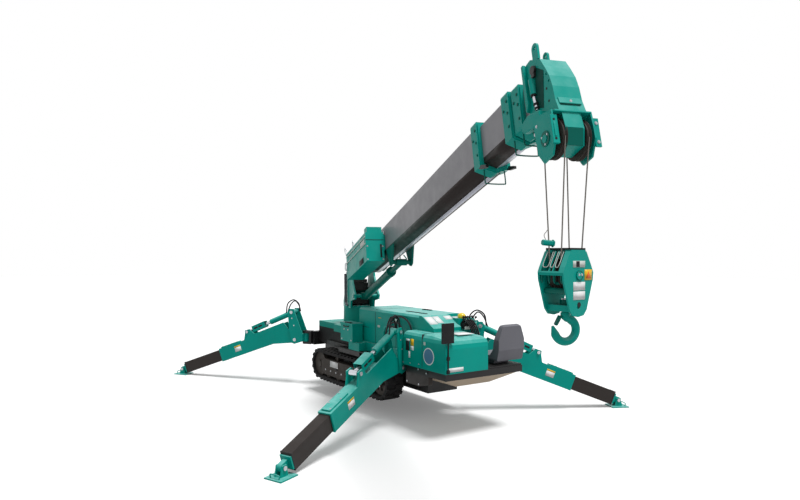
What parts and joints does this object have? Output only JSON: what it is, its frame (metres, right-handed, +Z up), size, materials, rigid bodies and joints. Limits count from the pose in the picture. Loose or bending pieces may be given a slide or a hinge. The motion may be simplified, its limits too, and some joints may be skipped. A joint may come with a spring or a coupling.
{
  "type": "crawler spider crane",
  "caption": "Compact tracked crane standing on outrigger legs, with a slewing post, a telescoping boom, a boom head with lifting eyes and a hook block on rope falls.",
  "frame": {"origin": "on the ground, under the middle of the whole machine's bounding box in the stored pose", "axes": "+X from the seat end towards the slewing post, +Y towards the machine's left, +Z up"},
  "size_m": [9.6414, 6.138, 4.0105],
  "materials": {
    "green_paint": "gloss",
    "dark_green_paint": "gloss",
    "grey_paint": "satin",
    "black_paint": "satin",
    "dark_metal": "matte",
    "rubber": "matte",
    "steel": "brushed",
    "sheave_metal": "satin",
    "seat_shell": "matte",
    "guard_metal": "satin",
    "black_plastic": "matte"
  },
  "bodies": {
    "chassis": {"chassis_frame": "black_paint", "outrigger_mounts": "black_paint", "track_left": "rubber", "track_right": "rubber", "track_frame_left": "dark_metal", "track_frame_right": "dark_metal", "engine_hood": "green_paint", "rear_cover": "green_paint", "control_console": "green_paint", "control_levers": "black_plastic", "seat_platform": "black_paint", "belly_guard": "guard_metal", "seat": "seat_shell", "storage_box": "black_paint", "service_tank": "dark_green_paint", "mirror": "black_plastic", "slew_column": "dark_green_paint"},
    "post": {"post_plates": "dark_green_paint", "swivel_gear": "black_paint"},
    "boom": {"boom_section_1": "grey_paint", "boom_tail": "dark_green_paint", "winch_housing": "green_paint", "boom_collar_1": "green_paint"},
    "luff_cylinder": {"luff_barrel": "dark_green_paint"},
    "luff_piston": {"luff_rod": "steel"},
    "section_2": {"boom_section_2": "grey_paint", "boom_collar_2": "green_paint"},
    "section_3": {"boom_section_3": "grey_paint", "boom_collar_3": "green_paint"},
    "section_4": {"boom_section_4": "grey_paint", "boom_head": "green_paint", "head_sheaves": "sheave_metal"},
    "falls": {"hoist_ropes": "steel"},
    "block": {"hook_block": "green_paint", "block_sheaves": "sheave_metal"},
    "hook": {"load_hook": "dark_green_paint"},
    "bracket_rl": {"bracket_rl": "green_paint"},
    "arm_rl": {"arm_rl": "green_paint"},
    "ram_barrel_rl": {"ram_barrel_rl": "green_paint"},
    "ram_rod_rl": {"ram_rod_rl": "steel"},
    "beam_rl": {"beam_rl": "black_paint", "foot_rl": "green_paint"},
    "bracket_rr": {"bracket_rr": "green_paint"},
    "arm_rr": {"arm_rr": "green_paint"},
    "ram_barrel_rr": {"ram_barrel_rr": "green_paint"},
    "ram_rod_rr": {"ram_rod_rr": "steel"},
    "beam_rr": {"beam_rr": "black_paint", "foot_rr": "green_paint"},
    "bracket_fl": {"bracket_fl": "green_paint"},
    "arm_fl": {"arm_fl": "green_paint"},
    "ram_barrel_fl": {"ram_barrel_fl": "green_paint"},
    "ram_rod_fl": {"ram_rod_fl": "steel"},
    "beam_fl": {"beam_fl": "black_paint", "foot_fl": "green_paint"},
    "bracket_fr": {"bracket_fr": "green_paint"},
    "arm_fr": {"arm_fr": "green_paint"},
    "ram_barrel_fr": {"ram_barrel_fr": "green_paint"},
    "ram_rod_fr": {"ram_rod_fr": "steel"},
    "beam_fr": {"beam_fr": "black_paint", "foot_fr": "green_paint"}
  },
  "joints": [
    {"name": "slew", "type": "hinge", "parent": "chassis", "child": "post", "pos_m": [1.646, 0, 1.47], "axis": [0, 0, 1], "continuous": true},
    {"name": "luff", "type": "hinge", "parent": "post", "child": "boom", "pos_m": [1.47491, 0.05592, 2.233], "axis": [0.3107, 0.9505, 0], "range_deg": [-14, 61]},
    {"name": "luff_barrel_turn", "type": "hinge", "parent": "post", "child": "luff_cylinder", "pos_m": [1.07569, 0.18641, 1.7], "axis": [0.3107, 0.9505, 0], "range_deg": [-14.8, 61.14]},
    {"name": "luff_rod_slide", "type": "slide", "parent": "luff_cylinder", "child": "luff_piston", "axis": [-0.9101, 0.2975, 0.2885], "range_m": [-0.1553, 0.6431]},
    {"name": "telescope_2", "type": "slide", "parent": "boom", "child": "section_2", "axis": [-0.9223, 0.3014, 0.2419], "range_m": [-0.45, 2.4]},
    {"name": "telescope_3", "type": "slide", "parent": "section_2", "child": "section_3", "axis": [-0.9223, 0.3014, 0.2419], "range_m": [0, 2.4]},
    {"name": "telescope_4", "type": "slide", "parent": "section_3", "child": "section_4", "axis": [-0.9223, 0.3014, 0.2419], "range_m": [0, 2.4]},
    {"name": "falls_swing", "type": "hinge", "parent": "section_4", "child": "falls", "pos_m": [-4.59796, 2.04084, 3.22821], "axis": [0.3107, 0.9505, 0], "range_deg": [-62, 15]},
    {"name": "hoist", "type": "slide", "parent": "falls", "child": "block", "axis": [0, 0, 1], "range_m": [-1.4, 0.3], "deforming": ["hoist_ropes"]},
    {"name": "hook_turn", "type": "hinge", "parent": "block", "child": "hook", "pos_m": [-4.59796, 2.04084, 1.95], "axis": [0, 0, 1], "continuous": true},
    {"name": "swing_rl", "type": "hinge", "parent": "chassis", "child": "bracket_rl", "pos_m": [-0.486, 0.56, 0.86], "axis": [0, 0, 1], "range_deg": [-22, 3]},
    {"name": "raise_rl", "type": "hinge", "parent": "bracket_rl", "child": "arm_rl", "pos_m": [-0.56013, 0.72402, 0.82], "axis": [0.9112, 0.4119, 0], "range_deg": [0, 45]},
    {"name": "ram_turn_rl", "type": "hinge", "parent": "bracket_rl", "child": "ram_barrel_rl", "pos_m": [-0.58896, 0.78781, 1.32], "axis": [0.9112, 0.4119, 0], "range_deg": [-1, 46.71]},
    {"name": "ram_slide_rl", "type": "slide", "parent": "ram_barrel_rl", "child": "ram_rod_rl", "axis": [-0.376, 0.8318, -0.4083], "range_m": [-0.3986, 0.01]},
    {"name": "extend_rl", "type": "slide", "parent": "arm_rl", "child": "beam_rl", "axis": [-0.3846, 0.851, -0.3576], "range_m": [-0.6, 0]},
    {"name": "swing_rr", "type": "hinge", "parent": "chassis", "child": "bracket_rr", "pos_m": [-0.486, -0.56, 0.86], "axis": [0, 0, -1], "range_deg": [-22, 3]},
    {"name": "raise_rr", "type": "hinge", "parent": "bracket_rr", "child": "arm_rr", "pos_m": [-0.56013, -0.72402, 0.82], "axis": [-0.9112, 0.4119, 0], "range_deg": [0, 45]},
    {"name": "ram_turn_rr", "type": "hinge", "parent": "bracket_rr", "child": "ram_barrel_rr", "pos_m": [-0.58896, -0.78781, 1.32], "axis": [-0.9112, 0.4119, 0], "range_deg": [-1, 46.71]},
    {"name": "ram_slide_rr", "type": "slide", "parent": "ram_barrel_rr", "child": "ram_rod_rr", "axis": [-0.376, -0.8318, -0.4083], "range_m": [-0.3986, 0.01]},
    {"name": "extend_rr", "type": "slide", "parent": "arm_rr", "child": "beam_rr", "axis": [-0.3846, -0.851, -0.3576], "range_m": [-0.6, 0]},
    {"name": "swing_fl", "type": "hinge", "parent": "chassis", "child": "bracket_fl", "pos_m": [2.56, 0.56, 0.86], "axis": [0, 0, 1], "range_deg": [-25, 40]},
    {"name": "raise_fl", "type": "hinge", "parent": "bracket_fl", "child": "arm_fl", "pos_m": [2.70147, 0.6713, 0.82], "axis": [0.6183, -0.7859, 0], "range_deg": [0, 45]},
    {"name": "ram_turn_fl", "type": "hinge", "parent": "bracket_fl", "child": "ram_barrel_fl", "pos_m": [2.75648, 0.71458, 1.32], "axis": [0.6183, -0.7859, 0], "range_deg": [-1, 47.18]},
    {"name": "ram_slide_fl", "type": "slide", "parent": "ram_barrel_fl", "child": "ram_rod_fl", "axis": [0.7222, 0.5681, -0.3946], "range_m": [-0.3984, 0.01]},
    {"name": "extend_fl", "type": "slide", "parent": "arm_fl", "child": "beam_fl", "axis": [0.7387, 0.5812, -0.3414], "range_m": [-0.6, 0]},
    {"name": "swing_fr", "type": "hinge", "parent": "chassis", "child": "bracket_fr", "pos_m": [2.56, -0.56, 0.86], "axis": [0, 0, -1], "range_deg": [-25, 40]},
    {"name": "raise_fr", "type": "hinge", "parent": "bracket_fr", "child": "arm_fr", "pos_m": [2.70147, -0.6713, 0.82], "axis": [-0.6183, -0.7859, 0], "range_deg": [0, 45]},
    {"name": "ram_turn_fr", "type": "hinge", "parent": "bracket_fr", "child": "ram_barrel_fr", "pos_m": [2.75648, -0.71458, 1.32], "axis": [-0.6183, -0.7859, 0], "range_deg": [-1, 47.18]},
    {"name": "ram_slide_fr", "type": "slide", "parent": "ram_barrel_fr", "child": "ram_rod_fr", "axis": [0.7222, -0.5681, -0.3946], "range_m": [-0.3984, 0.01]},
    {"name": "extend_fr", "type": "slide", "parent": "arm_fr", "child": "beam_fr", "axis": [0.7387, -0.5812, -0.3414], "range_m": [-0.6, 0]}
  ],
  "couplings": [
    {"joint": "luff_barrel_turn", "follows": "luff", "ratio": 0.9859},
    {"joint": "luff_rod_slide", "follows": "luff", "m_per_rad": 0.5947},
    {"joint": "telescope_4", "follows": "telescope_3", "ratio": 1},
    {"joint": "falls_swing", "follows": "luff", "ratio": -1},
    {"joint": "ram_turn_rl", "follows": "raise_rl", "ratio": 1.0157},
    {"joint": "ram_slide_rl", "follows": "raise_rl", "m_per_rad": -0.4948},
    {"joint": "ram_turn_rr", "follows": "raise_rr", "ratio": 1.0157},
    {"joint": "ram_slide_rr", "follows": "raise_rr", "m_per_rad": -0.4948},
    {"joint": "ram_turn_fl", "follows": "raise_fl", "ratio": 1.0261},
    {"joint": "ram_slide_fl", "follows": "raise_fl", "m_per_rad": -0.4945},
    {"joint": "ram_turn_fr", "follows": "raise_fr", "ratio": 1.0261},
    {"joint": "ram_slide_fr", "follows": "raise_fr", "m_per_rad": -0.4945}
  ]
}
